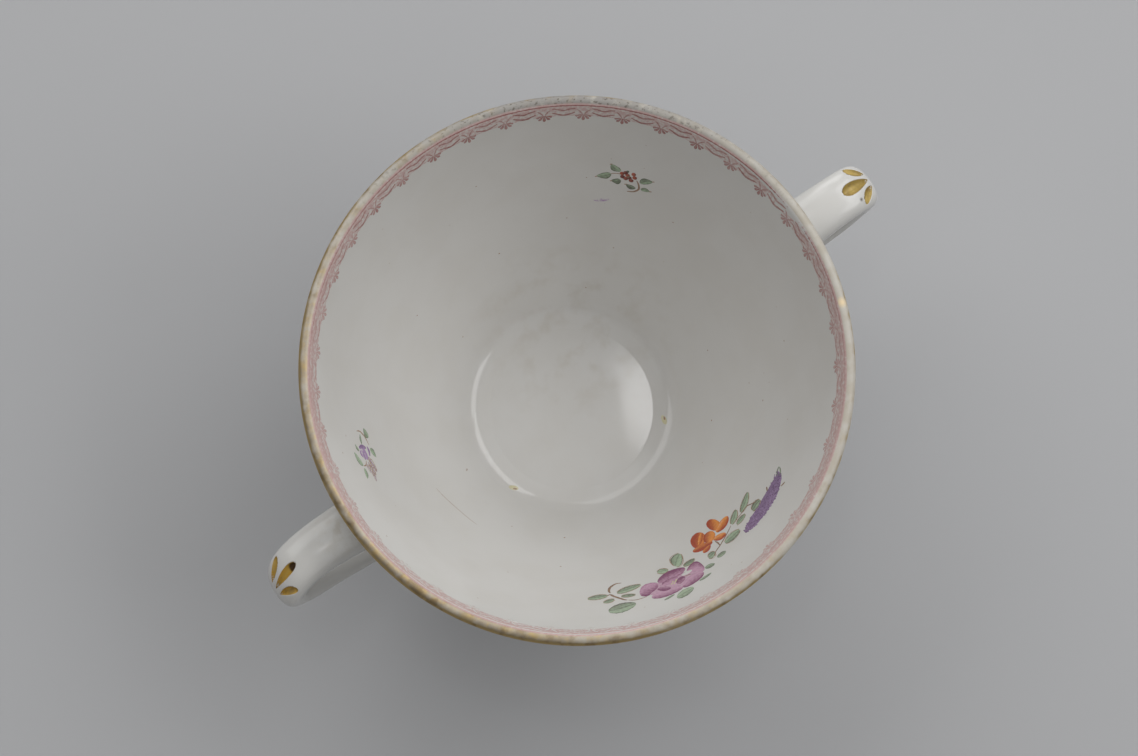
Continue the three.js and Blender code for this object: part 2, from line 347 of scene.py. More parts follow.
# Materials

PORCELAIN = (0.62, 0.612, 0.59)
STAIN = (0.47, 0.43, 0.36)
DULL_GLAZE = (0.53, 0.5028, 0.452)
PASTE = (0.55, 0.50, 0.43)
GRIME = (0.28, 0.265, 0.245)
# The same gold leaf on both handles, painted lighter on the left handle and darker on the right for how
# each is lit
GOLD_LEAF_PAINTED_LIT = {"right": (0.40, 0.285, 0.075), "left": (0.56, 0.36, 0.07)}
TARNISH = (0.24, 0.165, 0.08)
# Near-black gold for painted shade in the deep round end of a flute
PAINTED_SHADE_GOLD = (0.07, 0.035, 0.012)
# Bright gold for a painted glint on the lip
PAINTED_GLINT_GOLD = (0.80, 0.64, 0.40)
STREAK_GOLD = (0.48, 0.35, 0.15)
PALE_GOLD = (0.39, 0.33, 0.25)
RUBBED_GOLD = (0.51, 0.375, 0.17)
SPECK = (0.12, 0.10, 0.08)
LIP_WORN_SIDE = 8
LIP_WEAR_LEAN = 0.29
LIP_WEAR_CROWN = 0.3
LIP_GRIME = (24.4, 39.0, 57.0)
LIP_GRIME_REACH = 52
# A painted glint: bright gold colour on a fleck of gold left on the lip's crown
LIP_GLINT = (42.1, -16.2, 58.0)
LIP_GLINT_REACH = 1.3
# Painted shade in the deep round end of the left handle's middle flute
FLUTE_SHADE_END = (-57.05, 0.6, 45.2)
FLUTE_SHADE_REACH = 1.5
GLAZE_RELIEF = 0.03
GLAZE_FLAW = (57.8, -2.5, 45.4)
GLAZE_FLAW_REACH = 0.5
GLAZE_BROWN_PATCHES = [
    # place, reach, size of its patches, where they start and are full, strength
    # brown patches low on one side of the well and the wall above it
    ((9, 12, 10), 26, 3.5, (0.45, 0.75), 0.42),
    # a darker brown patch on the left handle's upper root, by the wall
    ((-47, 1, 46), 7, 2.0, (0.4, 0.65), 0.5),
]
# Patches: colour, size, detail, where they start and are full, strength
GLAZE_CLOUDS = [(STAIN, 9, 3, 0.35, 0.7, 0.1)]
FLUTE_PATCHES = [(RUBBED_GOLD, 1.1, 4, 0.45, 0.8, 0.6), (TARNISH, 1.6, 3, 0.52, 0.68, 0.5)]
LIP_PATCHES = [
    (RUBBED_GOLD, 0.8, 4, 0.42, 0.7, 0.6),
    (STREAK_GOLD, 2.5, 4, 0.48, 0.7, 0.5),
    (TARNISH, 1.9, 5, 0.5, 0.66, 0.55),
]
GLAZE_EDGE = 1.25, 1.05
GLAZE_EDGE_WANDER = 0.8
BRUSH_GRAIN = 0.6


class Look:
    """The nodes of one material, built round its shader. Sizes are millimetres."""

    def __init__(self, name, roughness):
        self.material = bpy.data.materials.new(name)
        self.material.use_nodes = True
        self.tree = self.material.node_tree
        self.shader = self.tree.nodes["Principled BSDF"]
        self.shade("Roughness", roughness)
        self.shade("IOR", 1.5)
        self.where = self.tree.nodes.new("ShaderNodeTexCoord").outputs["Object"]

    def put(self, socket, value):
        if isinstance(value, bpy.types.NodeSocket):
            self.tree.links.new(value, socket)
        elif isinstance(value, tuple) and len(socket.default_value) == 4:
            socket.default_value = (*value, 1)
        else:
            socket.default_value = value

    def shade(self, name, value):
        self.put(self.shader.inputs[name], value)

    def node(self, kind, values, **settings):
        node = self.tree.nodes.new("ShaderNode" + kind)
        for name, setting in settings.items():
            setattr(node, name, setting)
        for name, value in values.items():
            self.put(node.inputs[name], value)
        return node

    def maths(self, operation, *values):
        return self.node("Math", dict(enumerate(values)), operation=operation).outputs[0]

    def vectors(self, operation, *values):
        return self.node("VectorMath", dict(enumerate(values)), operation=operation).outputs

    def ramp(self, value, low, high):
        """Rises smoothly from 0 at low to 1 at high, or falls if high is the smaller."""
        values = {"Value": value, "From Min": low, "From Max": high}
        return self.node("MapRange", values, interpolation_type="SMOOTHSTEP").outputs[0]

    def noise(self, size, detail):
        values = {"Vector": self.where, "Scale": 1 / (size * MM), "Detail": detail}
        return self.node("TexNoise", values).outputs[0]

    def patches(self, size, detail, low, high, strength=1.0):
        """Ragged patches of noise, as strong as a number or another pattern says."""
        return self.maths("MULTIPLY", self.ramp(self.noise(size, detail), low, high), strength)

    def nearness(self, place, reach):
        """1 at a place on the object, falling to 0 at its reach."""
        gap = self.vectors("DISTANCE", self.where, tuple(p * MM for p in place))["Value"]
        return self.ramp(gap, reach * MM, 0.0)

    def blend(self, share, first, second):
        node = self.node("Mix", {0: share}, data_type="RGBA")
        self.put(node.inputs[6], first)
        self.put(node.inputs[7], second)
        return node.outputs[2]

    def mottled(self, colour, patches):
        """A colour under patches of other colours."""
        for other, *patch in patches:
            colour = self.blend(self.patches(*patch), colour, other)
        return colour

    def glaze_colour(self):
        """Porcelain white with faint clouds, two brown patches and one flaw."""
        colour = self.mottled(PORCELAIN, GLAZE_CLOUDS)
        for place, reach, size, limits, strength in GLAZE_BROWN_PATCHES:
            near = self.maths("MULTIPLY", self.nearness(place, reach), strength)
            colour = self.blend(self.patches(size, 4, *limits, near), colour, STAIN)
        return self.blend(self.nearness(GLAZE_FLAW, GLAZE_FLAW_REACH), colour, SPECK)

    def glazed(self, colour):
        """The material in a colour, with a glaze's slight orange peel over the ripple of throwing."""
        self.shade("Base Color", colour)
        height = self.maths("MULTIPLY_ADD", self.noise(0.7, 1), 0.05, self.noise(7, 1))
        bump = self.node("Bump", {"Height": height, "Distance": GLAZE_RELIEF * MM, "Strength": 1.0})
        self.shade("Normal", bump.outputs[0])
        return self.material


def glaze_material(name, roughness):
    look = Look(name, roughness)
    return look.glazed(look.glaze_colour())


def foot_material():
    """Glaze that stops short of the table, over bare paste."""
    look = Look("foot", 0.2)
    height = look.node("SeparateXYZ", {0: look.where}).outputs[2]
    edge = look.maths("MULTIPLY_ADD", look.noise(4, 2), GLAZE_EDGE_WANDER * MM, height)
    bare = look.ramp(edge, *(level * MM for level in GLAZE_EDGE))
    grit = look.blend(look.noise(0.35, 2), PASTE, STAIN)
    look.shade("Roughness", look.maths("MULTIPLY_ADD", bare, 0.55, 0.16))
    return look.glazed(look.blend(bare, look.glaze_colour(), grit))


def flute_gilt_material(handle):
    """Burnished gold, rubbed thin in places and tarnished in others, with painted shade in one flute's
    round end.
    """
    look = Look("flute_gilding_" + handle, 0.42)
    look.shade("Metallic", 0.3)
    gold = look.mottled(GOLD_LEAF_PAINTED_LIT[handle], FLUTE_PATCHES)
    end_shade = look.ramp(look.nearness(FLUTE_SHADE_END, FLUTE_SHADE_REACH), 0.2, 0.6)
    return look.glazed(look.blend(end_shade, gold, PAINTED_SHADE_GOLD))


def lip_wear(look, flat, outward):
    """1 where the gold is gone: most on one side of the cup, least on stretches of the outer edge."""
    side = (*heading(LIP_WORN_SIDE), 0)
    lean = look.vectors("DOT_PRODUCT", flat, side)["Value"]
    worn = look.maths("MULTIPLY_ADD", lean, LIP_WEAR_LEAN / (RIM_RADIUS * MM), look.noise(2.4, 5))
    kept = look.patches(11, 3, 0.38, 0.58, look.ramp(outward, 0.45, 0.9))
    worn = look.maths("MULTIPLY_ADD", kept, -LIP_WEAR_CROWN, worn)
    return look.ramp(worn, 0.12, 0.64)


def lip_glaze(look):
    """The glaze where the gold is gone: dull, with grime and specks on one side, and a painted glint on
    a fleck of gold.
    """
    dull = look.blend(look.patches(2.2, 5, 0.3, 0.65), DULL_GLAZE, STAIN)
    grime = look.patches(1.6, 5, 0.25, 0.5, look.nearness(LIP_GRIME, LIP_GRIME_REACH))
    dull = look.blend(grime, dull, GRIME)
    dull = look.blend(look.patches(0.55, 2, 0.56, 0.68, grime), dull, SPECK)
    return look.blend(look.nearness(LIP_GLINT, LIP_GLINT_REACH), dull, PAINTED_GLINT_GOLD)


def lip_gilt_material():
    """Thin gold, rubbed, streaked and tarnished, that has worn through to the glaze."""
    look = Look("lip_gilding", 0.5)
    flat = look.vectors("MULTIPLY", look.where, (1, 1, 0))[0]
    radius = look.vectors("LENGTH", flat)["Value"]
    half = LIP_WALL / 2
    outward = look.maths("MULTIPLY_ADD", radius, 1 / (half * MM), -LIP_CENTRE[0] / half)
    bare = lip_wear(look, flat, outward)
    look.shade("Metallic", look.maths("SUBTRACT", 1.0, bare))
    gold = look.blend(look.ramp(outward, 0.35, 0.9), PALE_GOLD, RUBBED_GOLD)
    return look.glazed(look.blend(bare, look.mottled(gold, LIP_PATCHES), lip_glaze(look)))


def enamel_material(name, deep, pale, side=0.0, edge=0.0, vein=0.0):
    """Enamel colour laid with a brush: deeper on one side, along the edge or down the middle."""
    look = Look(name, 0.2)
    brush = look.node("UVMap", {}, uv_map="UVMap").outputs[0]
    across = look.node("SeparateXYZ", {0: brush}).outputs[1]
    depth = look.node("Attribute", {}, attribute_name="tone").outputs["Fac"]
    from_middle = look.maths("ABSOLUTE", look.maths("MULTIPLY_ADD", across, 2.0, -1.0))
    for pattern, weight in (
        (look.ramp(across, 0.1, 1.0), side),
        (look.ramp(from_middle, 0.55, 0.95), edge),
        (look.ramp(from_middle, 0.16, 0.02), vein),
        (look.maths("SUBTRACT", look.noise(0.5, 3), 0.5), BRUSH_GRAIN),
    ):
        depth = look.maths("MULTIPLY_ADD", pattern, weight, depth)
    thin = look.ramp(depth, 0.25, 0.0)
    pigment = look.blend(look.ramp(depth, 0.2, 1.0), pale, deep)
    return look.glazed(look.blend(thin, pigment, look.glaze_colour()))


GLAZE = glaze_material("glaze", 0.1)
HANDLE_GLAZE = glaze_material("handle_glaze", 0.2)
FOOT_GLAZE = foot_material()
LIP_GILT = lip_gilt_material()
FLUTE_GILT = {handle: flute_gilt_material(handle) for handle in GOLD_LEAF_PAINTED_LIT}


# Bowl, foot and the lip's gilding


def bowl_profile():
    """From the middle of the underside round the outside, over the lip and down to the well."""
    underside = [[0, BASE_UNDERSIDE], [FOOT_RADIUS * 0.5, BASE_UNDERSIDE]]
    outside = [hollow_profile()[::-1], OUTSIDE_WALL[::-3]]
    inside = [lip_arc(LIP_WALL / 2, 180, 0, 19)[1:-1], INSIDE_WALL[::3], well_profile()]
    return np.concatenate([underside] + outside + inside)


def foot_profile():
    """The foot ring, run up into the bowl's underside."""
    top = BASE_UNDERSIDE + FOOT_OVERLAP
    outside_low = FOOT_RADIUS - FOOT_BATTER
    inside_low = outside_low - FOOT_LAND - 2 * FOOT_ROUND
    inside_top = FOOT_RADIUS - FOOT_WIDTH
    shares = np.linspace(0, 1, 8)
    flank = [[FOOT_RADIUS, BASE_UNDERSIDE], [FOOT_RADIUS, FOOT_BEND], [outside_low, FOOT_FLANK]]
    outer_round = [[outside_low, FOOT_ROUND], [outside_low, 0], [outside_low - FOOT_ROUND, 0]]
    inner_round = [[inside_low + FOOT_ROUND, 0], [inside_low, 0], [inside_low, FOOT_ROUND]]
    cove_end = [inside_top - FOOT_COVE, BASE_UNDERSIDE]
    cove = [[inside_top, BASE_UNDERSIDE - FOOT_COVE], [inside_top, BASE_UNDERSIDE], cove_end]
    buried = [[inside_top - FOOT_COVE, top], [FOOT_RADIUS - FOOT_TUCK, top]]
    curves = [bezier(curve, shares) for curve in (flank, outer_round, inner_round, cove)]
    return np.concatenate([buried, *curves])[::-1]


def lip_gilding_profile():
    outside = lip_arc(LIP_WALL / 2 + GILDING_HEIGHT, *GILDING_ARC, 36)
    inside = lip_arc(LIP_WALL / 2 - GILDING_SINK, *GILDING_ARC[::-1], 36)
    return np.concatenate([outside, inside])[::-1]


bowl = revolve("porcelain_bowl", bowl_profile(), GLAZE)
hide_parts("bowl")

foot = revolve("turned_foot", foot_profile(), FOOT_GLAZE)
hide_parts("foot_ring", "foot_slip")

revolve("lip_gilding", lip_gilding_profile(), LIP_GILT, GILDING_SEGMENTS)


# Handles


def outside_radius(height):
    return np.interp(height, OUTSIDE_WALL[::-1, 1], OUTSIDE_WALL[::-1, 0])


def centre_line():
    """The right handle's centre line, as radius and height."""
    heights = np.array([UPPER_ROOT_HEIGHT, LOWER_ROOT_HEIGHT])
    upper_root, lower_root = np.stack([outside_radius(heights) - ROOT_BITE, heights], -1)
    bend = np.array([HANDLE_REACH - STRAP_THICKNESSES[2] / 2, BEND_HEIGHT])
    upper_pull = upper_root + SHOULDER_PULL * heading(UPPER_ROOT_RISE)
    lower_pull = lower_root + LOWER_PULL * heading(LOWER_ROOT_RISE)
    shoulder = [upper_root, upper_pull, bend + BEND_PULL * heading(90), bend]
    belly = [bend, bend + BELLY_PULL * heading(-90), lower_pull, lower_root]
    shares = np.linspace(0, 1, 600)
    return np.concatenate([bezier(shoulder, shares), bezier(belly, shares)[1:]])


LINE_POINTS = centre_line()
LINE_LENGTHS, LINE_SLOPES = measured(LINE_POINTS)


def along_line(columns, share):
    return between(share * LINE_LENGTHS[-1], LINE_LENGTHS, columns)


def strap_size(sizes, share):
    """The strap's width, thickness or squareness, eased between its named places."""
    size = np.full(np.shape(share), sizes[0], float)
    for i in range(1, len(sizes)):
        size += (sizes[i] - sizes[i - 1]) * smooth_step(share, STRAP_PLACES[i - 1], STRAP_PLACES[i])
    return size


def signed_power(value, power):
    return np.sign(value) * np.abs(value) ** power


def skin(share, turn):
    """Points on the strap's skin. Turn 0 faces away from the loop, and a quarter turn faces along Y."""
    radius, height = along_line(LINE_POINTS, share)
    slope_out, slope_up = along_line(LINE_SLOPES, share)
    power = 2 / strap_size(STRAP_POWERS, share)
    rise = strap_size(STRAP_THICKNESSES, share) / 2 * signed_power(np.cos(turn * 2 * math.pi), power)
    across = strap_size(STRAP_WIDTHS, share) / 2 * signed_power(np.sin(turn * 2 * math.pi), power)
    return np.stack([radius - slope_up * rise, across, height + slope_out * rise], -1)


def skin_normal(share, turn):
    step = 1e-3
    along = skin(share + step, turn) - skin(share - step, turn)
    around = skin(share, turn + step) - skin(share, turn - step)
    normal = unit(np.cross(around, along))
    outward = np.sum(normal * (skin(share, turn) - skin(share, turn + 0.5)), axis=-1, keepdims=True)
    return normal * np.sign(outward)


def wall_gap(points):
    """Distance of points from the bowl's outside, and the wall's normal there."""
    east, north, height = np.moveaxis(points, -1, 0)
    radius = np.hypot(east, north)
    out, up = between(height, OUTSIDE.points[::-1, 1], OUTSIDE.normals[::-1])
    normal = np.stack([out * east / radius, out * north / radius, up], -1)
    return (radius - outside_radius(height)) * out, normal


def share_at_setback(setback):
    """Share of the centre line where the strap's outer skin is so far in from its outermost face."""
    places = np.linspace(0, 0.6, 1200)
    reach = skin(places, 0 * places)[:, 0]
    outermost = reach.argmax()
    return np.interp(reach[outermost] - setback, reach[:outermost], places[:outermost])


def flute_bulge(along):
    rise = np.sqrt(np.clip(1 - (1 - along / FLUTE_RISE) ** 2, 0, 1))
    fall = np.cos((along - FLUTE_RISE) / (1 - FLUTE_RISE) * math.pi / 2)
    return np.where(along < FLUTE_RISE, rise, np.clip(fall, 0, 1)) * ((along > 0) & (along < 1))


def flute_middle(side, share, along):
    round_end = strap_size(STRAP_WIDTHS, share) / 2 - FLUTE_EDGE
    return side * (round_end * (1 - along) + FLUTE_POINT_SPREAD * along)


ROOT_LEVELS = np.concatenate([[-ROOT_DEPTH], ROOT_FILLET * np.linspace(0, 1, 13) ** 2])
STRAP_TURNS = np.linspace(0, 1, 288, endpoint=False)
STRAP_ROWS = np.concatenate(
    [np.linspace(0, 0.1, 10)[1:], np.linspace(0.1, 0.42, 150)[1:], np.linspace(0.42, 1, 60)[1:-1]]
)


class Handle:
    """One of the two handles. The left one is the right one half a turn on, set a little crooked."""

    def __init__(self, name, half_turn):
        self.name = name
        self.half_turn = half_turn
        self.flutes = [(side, share_at_setback(start), half) for side, start, half in FLUTES[name]]
        self.flute_end = share_at_setback(FLUTE_POINT_SETBACKS[name])
        self.swing = SWINGS[name]
        cosine, sine = heading(ROLLS[name])
        self.roll = np.array([[1, 0, 0], [0, cosine, sine], [0, -sine, cosine]])

    def crooked(self, points):
        """Points turned about a level line through the handle's middle, the bend swung to one side."""
        points = (points - [0, 0, ROLL_HEIGHT]) @ self.roll + [0, 0, ROLL_HEIGHT]
        outward = np.clip((points[..., 0] - SWING_START) / (HANDLE_REACH - SWING_START), 0, None)
        points[..., 1] += self.swing * outward**2
        return points

    def flute_depth(self, share, turn):
        """How deep the three flutes cut into the skin."""
        across = skin(share, turn)[..., 1]
        facing_out = np.cos(turn * 2 * math.pi) > 0
        depth = np.zeros(np.shape(share))
        for side, start, half in self.flutes:
            along = (share - start) / (self.flute_end - start)
            bulge = flute_bulge(along)
            gap = (across - flute_middle(side, share, along)) / np.maximum(half * bulge, 1e-6)
            cut = FLUTE_DEPTH * np.sqrt(bulge) * np.clip(1 - gap**2, 0, 1) ** 0.8
            depth = np.maximum(depth, cut * facing_out)
        return depth

    def surface(self, share, turn, lift=0.0):
        """The finished skin: fluted on the shoulder, and flowing into the wall through its slip."""
        normal = skin_normal(share, turn)
        points = skin(share, turn) + normal * (lift - self.flute_depth(share, turn))[..., None]
        points, normal = self.crooked(points), normal @ self.roll
        gap, wall_normal = wall_gap(points)
        near = np.clip(gap, 0, ROOT_FILLET)
        spread = ROOT_FILLET - np.sqrt(ROOT_FILLET**2 - (ROOT_FILLET - near) ** 2)
        sideways = normal - np.sum(normal * wall_normal, axis=-1, keepdims=True) * wall_normal
        points = points + unit(sideways) * spread[..., None]
        return points.reshape(-1, 3) * ([-1, -1, 1] if self.half_turn else [1, 1, 1])

    def root_shares(self, first, last):
        """Shares at which the skin stands off from the wall by each level, for every turn."""
        shares = np.linspace(first, last, 300)
        columns = []
        for turn in STRAP_TURNS:
            gaps = wall_gap(self.crooked(skin(shares, np.full(shares.shape, turn))))[0]
            columns.append(np.interp(ROOT_LEVELS, gaps, shares))
        return np.stack(columns, -1)

    def shares(self):
        """Shares of the centre line for every row and turn, bunched at the roots and on the flutes."""
        upper = self.root_shares(0, 0.3)
        lower = self.root_shares(1, 0.7)
        middle = upper[-1] + (lower[-1] - upper[-1]) * STRAP_ROWS[:, None]
        return np.concatenate([upper, middle, lower[::-1]])

    def add_strap(self):
        shares = self.shares()
        points = self.surface(shares, np.broadcast_to(STRAP_TURNS, shares.shape))
        rows, columns = shares.shape
        faces = [face[::-1] for face in grid_faces(rows, columns, wrap=True)]
        faces.append(tuple(range(columns)))
        faces.append(tuple(reversed(range((rows - 1) * columns, rows * columns))))
        strap = add_mesh("strap_handle_" + self.name, points, faces, HANDLE_GLAZE)
        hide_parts("handle_" + self.name, "upper_slip_" + self.name, "lower_slip_" + self.name)

    def add_flute_gilding(self):
        """Gold leaf on the three flutes, as thin pads that follow them."""
        rows, columns = 40, 17
        along = np.repeat(np.linspace(0.004, 0.985, rows)[:, None], columns, axis=1)
        across = np.repeat(np.linspace(-0.97, 0.97, columns)[None], rows, axis=0)
        points, faces = [], []
        for side, start, half in self.flutes:
            share = start + along * (self.flute_end - start)
            offset = flute_middle(side, share, along) + across * half * flute_bulge(along)
            power = strap_size(STRAP_POWERS, share) / 2
            sine = signed_power(2 * offset / strap_size(STRAP_WIDTHS, share), power)
            turn = np.arcsin(sine) / (2 * math.pi)
            first = sum(map(len, points))
            faces += [tuple(first + i for i in face) for face in pad_faces(rows, columns)]
            for lift in FLUTE_LEAF_LIFTS:
                points.append(self.surface(share, turn, lift))
        add_mesh("flute_gilding_" + self.name, np.concatenate(points), faces, FLUTE_GILT[self.name])


for name, half_turn in (("right", False), ("left", True)):
    handle = Handle(name, half_turn)
    handle.add_strap()
    handle.add_flute_gilding()


# Painted decoration

# Powers that say where a leaf swells most and how full it is
LEAF_SWELL = 0.9, 0.6
SMALL_LEAF_SWELL = 0.85, 0.8


def blade_rows(points, half, belly, roundness):
    """Rows across a petal or a leaf along points, swelling from both ends to its half width."""
    spine = curve_through(points, 17)
    along = np.linspace(0, 1, 17)
    swell = np.clip(np.sin(math.pi * along**belly), 0.02, 1) ** roundness
    reach = np.linspace(-1, 1, 11)[None, :, None] * swell[:, None, None]
    return spine[:, None] + reach * np.asarray(half)


class Paint:
    """Brush strokes of one enamel, gathered into one mesh of thin closed pads on the wall."""

    def __init__(self, name, *enamel):
        self.name = "painted_" + name
        self.material = enamel_material(*enamel)
        self.points, self.faces, self.brush, self.tones = [], [], [], []
        self.count = 0

    def pad(self, spot, flat, tone, layer):
        """A thin closed pad over a grid of places, sideways and down from a spot's angle on a face."""
        face, angle = spot
        rows, columns = flat.shape[:2]
        along = np.linspace(0, 1, rows)[:, None]
        across = np.linspace(-1, 1, columns)[None]
        turn = math.radians(angle) + flat[..., 0] / face.at(flat[..., 1])[0]
        crown = (1 - across**4) * (1 - np.abs(2 * along - 1) ** 12)
        rise = (PAINT_HEIGHT + PAINT_LAYER * layer + PAINT_TUCK) * crown - PAINT_TUCK
        self.faces += [tuple(self.count + i for i in quad) for quad in pad_faces(rows, columns)]
        for lift in (rise, np.full(rise.shape, -PAINT_SINK)):
            self.points.append(face.place(turn, flat[..., 1], lift).reshape(-1, 3))
        brush = np.stack(np.broadcast_arrays(along, across / 2 + 0.5), -1)
        self.brush += [brush.reshape(-1, 2)] * 2
        self.tones += [np.repeat(np.broadcast_to(tone, (rows,)), columns)] * 2
        self.count += 2 * rows * columns

    def stroke(self, spot, spine, widths, tone, layer, columns=5):
        """A stroke along a spine, as wide as given at each place."""
        slope = np.gradient(spine, axis=0)
        slope /= np.maximum(np.linalg.norm(slope, axis=1, keepdims=True), 1e-9)
        half = -outward_of(slope) * np.maximum(widths, THINNEST_STROKE)[:, None] / 2
        across = np.linspace(-1, 1, columns)[None, :, None]
        self.pad(spot, spine[:, None] + half[:, None] * across, tone, layer)

    def blade(self, spot, points, half, tone, layer=0, belly=1.0, roundness=0.5):
        """A petal or a leaf along points. Half is its half width, towards the darker edge."""
        flat = blade_rows(points, half, belly, roundness)
        way = flat[-1, 0] - flat[0, 0]
        if way[0] * half[1] < way[1] * half[0]:
            flat = flat[::-1]
        self.pad(spot, flat, tone, layer)

    def edging(self, spot, points, half, width, tone, layer, belly, roundness):
        """A thin line along both edges of a blade."""
        flat = blade_rows(points, half, belly, roundness)
        for edge in (flat[:, 0], flat[:, -1]):
            self.stroke(spot, edge, np.full(len(edge), width), tone, layer)

    def leaf(self, spot, base, tip, width, tone):
        """A blade that swells from its base and comes to a point, darker on its lower edge."""
        base, tip = np.array([base, tip])
        half = -outward_of(unit(tip - base)) * width / 2
        middle = (base + tip) / 2 + half * 0.3
        self.blade(spot, [base, middle, tip], half, tone, 0, *SMALL_LEAF_SWELL)

    def petals(self, spot, petals):
        """Petals over one another, two to a layer."""
        for place, petal in enumerate(petals):
            self.blade(spot, *petal, 1 + place // 2)

    def line(self, spot, points, width, tone=0.6, layer=0, count=21, taper=0.5):
        """A thin line through points, finer at its ends."""
        along = np.linspace(0, 1, count)
        widths = width * (1 - taper * np.abs(2 * along - 1) ** 2)
        self.stroke(spot, curve_through(points, count), widths, tone, layer)

    def dab(self, spot, centre, length, width, lean, tone=0.5, layer=0):
        """A short touch of the brush, leaning by so many degrees from sideways."""
        way = heading(lean) * length / 2
        along = np.linspace(-1, 1, 7)
        widths = width * np.sqrt(np.clip(1 - along**2, 0, 1))
        self.stroke(spot, np.array(centre) + way * along[:, None], widths, tone, layer)

    def finish(self):
        points, brush, tones = map(np.concatenate, (self.points, self.brush, self.tones))
        add_mesh(self.name, points, self.faces, self.material, brush, tones)


# Deep and pale colours, and how much deeper on one side, at the edges and down the middle
leaves = Paint("leaves", "leaf_enamel", (0.09, 0.1, 0.065), (0.36, 0.47, 0.32), 0.3, 0.5, 0.25)
stems = Paint("stems", "brown_enamel", (0.13, 0.06, 0.03), (0.34, 0.22, 0.14), 0.0, 0.2)
rose_washes = Paint("rose_washes", "rose_wash", (0.16, 0.035, 0.1), (0.56, 0.35, 0.46), 0.0, 0.15)
roses = Paint("roses", "rose_enamel", (0.18, 0.03, 0.11), (0.56, 0.32, 0.45), 0.45, 0.25)
violets = Paint("violets", "violet_enamel", (0.13, 0.065, 0.17), (0.38, 0.25, 0.44), 0.2)
oranges = Paint("orange_flowers", "orange_enamel", (0.36, 0.042, 0.005), (0.75, 0.27, 0.04), 0.7, 0.25)
berries = Paint("berries", "red_enamel", (0.12, 0.016, 0.01), (0.42, 0.09, 0.045), 0.4, 0.3)
stamens = Paint("stamens", "yellow_enamel", (0.4, 0.34, 0.1), (0.6, 0.56, 0.36), 0.0, 0.3)
border = Paint("border", "puce_enamel", (0.25, 0.07, 0.06), (0.53, 0.37, 0.35), 0.0, 0.1)
paints = [leaves, stems, rose_washes, roses, violets, oranges, berries, stamens, border]


# Sprays of flowers: sideways and down from the lip, in millimetres. Halves point to the darker edge.

BOUQUET_LEAVES = [
    # points, half width, tone
    ([(-15.1, 21.8), (-12.8, 22.5), (-10.4, 22.8)], (0.22, 1.4), 0.4),
    ([(-16.7, 21.3), (-18.6, 21.1), (-20.4, 20.7)], (0.28, 1.26), 0.4),
    ([(-16.2, 18.8), (-17.3, 18.4), (-18.4, 18.1)], (0.18, 1.0), 0.45),
    ([(-14.9, 19.7), (-13.7, 19.3), (-12.5, 18.8)], (0.19, 0.86), 0.5),
    ([(-18.9, 12.9), (-16.3, 13.6), (-13.6, 14.2)], (0.52, 2.99), 0.4),
    ([(-3.6, 24.0), (-2.7, 26.1), (-1.3, 28.1)], (-0.54, 2.13), 0.3),
    ([(-2.6, 22.5), (-1.4, 22.4), (-0.2, 22.5)], (0.12, 1.03), 0.5),
    ([(-6.7, 25.5), (-5.8, 24.9), (-4.9, 24.2)], (0.28, 1.17), 0.28),
    ([(-0.4, 16.1), (0.5, 15.6), (1.4, 15.1)], (-0.17, -1.11), 0.45),
    ([(-2.8, 12.2), (-1.5, 12.2), (-0.2, 12.3)], (-0.09, -0.7), 0.45),
    ([(-7.8, 9.6), (-6.0, 10.2), (-4.2, 10.6)], (-0.22, -2.21), 0.3),
    ([(-9.7, 11.0), (-8.5, 11.5), (-7.4, 11.9)], (-0.06, -0.59), 0.45),
    ([(5.2, 19.5), (7.0, 19.3), (8.7, 18.9)], (-0.11, -1.67), 0.34),
    ([(1.4, 19.1), (2.2, 19.3), (3.0, 19.4)], (0.09, 1.51), 0.4),
    ([(2.4, 16.8), (3.4, 16.6), (4.3, 16.4)], (0.12, 1.08), 0.45),
    ([(8.4, 23.1), (9.8, 24.2), (11.0, 25.5)], (-0.19, 1.21), 0.32),
    ([(9.0, 21.4), (10.2, 21.5), (11.4, 21.4)], (0.01, 0.97), 0.38),
    ([(11.0, 23.1), (12.8, 24.2), (14.7, 25.5)], (-0.19, 1.21), 0.32),
    ([(12.5, 19.9), (13.7, 20.0), (14.9, 19.8)], (0.01, 1.51), 0.45),
]
LEAF_OUTLINE = 0.2
OUTLINED_DEPTH = 17.5
BOUQUET_STEMS = [
    # points, width
    ([(-12.9, 26.0), (-13.9, 26.2), (-15.2, 25.1), (-15.9, 23.5), (-16.0, 22.3)], 0.54),
    ([(-16.9, 21.2), (-16.2, 21.6), (-15.9, 20.5), (-15.3, 18.9), (-14.8, 17.6), (-14.4, 17.1)], 0.6),
    ([(-14.4, 17.1), (-13.2, 16.1), (-11.3, 16.1)], 0.41),
    ([(8.4, 23.1), (6.8, 21.9), (4.4, 20.2), (3.2, 19.4), (2.3, 18.2)], 0.41),
    ([(4.4, 23.0), (4.5, 21.8), (4.4, 20.3)], 0.34),
    ([(8.4, 23.0), (10.9, 22.9), (12.4, 22.9), (13.3, 21.9), (14.5, 20.0)], 0.36),
    ([(17.3, 20.1), (16.8, 18.9)], 0.43),
    ([(18.8, 14.8), (19.8, 14.1)], 0.48),
    ([(-3.9, 17.9), (-3.3, 17.7), (-2.6, 17.2)], 0.48),
]
